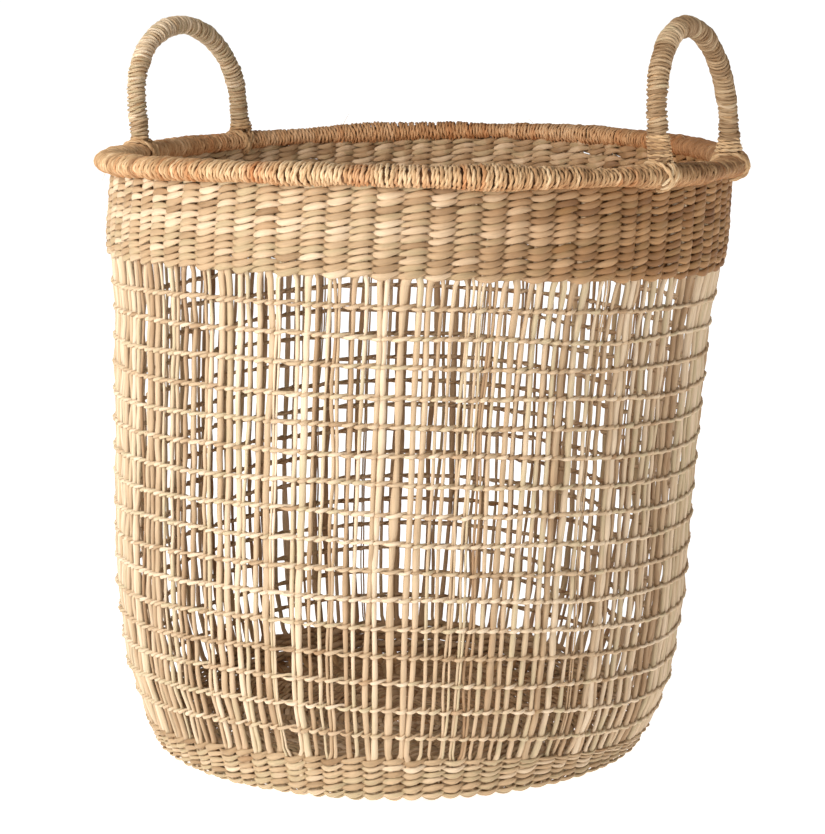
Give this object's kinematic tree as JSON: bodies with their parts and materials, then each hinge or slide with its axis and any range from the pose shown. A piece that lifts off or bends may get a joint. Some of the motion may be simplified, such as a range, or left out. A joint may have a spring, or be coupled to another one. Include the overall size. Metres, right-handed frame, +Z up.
{
  "type": "storage basket",
  "caption": "Round openwork storage basket of twined seagrass with dense bands at rim and foot, a cord-wrapped rim and two upright wrapped loop handles.",
  "frame": {"origin": "centre of the base's underside, where the basket stands", "axes": "+Z up, the two handles at +X and -X"},
  "size_m": [0.42, 0.42, 0.4785],
  "materials": {
    "seagrass_stake": "dry, matte round stems, straw to cream, some pinkish or greenish",
    "seagrass_weave": "two-strand twining, satin straw with dark crossings",
    "seagrass_cord": "twisted two-ply cord, tan with rust stains, fibrous",
    "cane_core": "dry stems, hidden under the wrapping"
  },
  "bodies": {
    "root": {"base_spokes": "cane_core", "base_weave": "seagrass_weave", "lower_band_weave": "seagrass_weave", "stake_bundle_01": "seagrass_stake", "stake_bundle_02": "seagrass_stake", "stake_bundle_03": "seagrass_stake", "stake_bundle_04": "seagrass_stake", "stake_bundle_05": "seagrass_stake", "stake_bundle_06": "seagrass_stake", "stake_bundle_07": "seagrass_stake", "stake_bundle_08": "seagrass_stake", "stake_bundle_09": "seagrass_stake", "stake_bundle_10": "seagrass_stake", "stake_bundle_11": "seagrass_stake", "stake_bundle_12": "seagrass_stake", "course_01": "seagrass_weave", "course_02": "seagrass_weave", "course_03": "seagrass_weave", "course_04": "seagrass_weave", "course_05": "seagrass_weave", "course_06": "seagrass_weave", "course_07": "seagrass_weave", "course_08": "seagrass_weave", "course_09": "seagrass_weave", "course_10": "seagrass_weave", "course_11": "seagrass_weave", "course_12": "seagrass_weave", "course_13": "seagrass_weave", "course_14": "seagrass_weave", "course_15": "seagrass_weave", "course_16": "seagrass_weave", "upper_band_weave": "seagrass_weave", "rim_hoop": "cane_core", "rim_wrap": "seagrass_cord", "handle_core_right": "cane_core", "handle_wrap_right": "seagrass_cord", "handle_core_left": "cane_core", "handle_wrap_left": "seagrass_cord", "handle_lashing_right_front": "seagrass_cord", "handle_lashing_right_back": "seagrass_cord", "handle_lashing_left_back": "seagrass_cord", "handle_lashing_left_front": "seagrass_cord"}
  },
  "joints": []
}
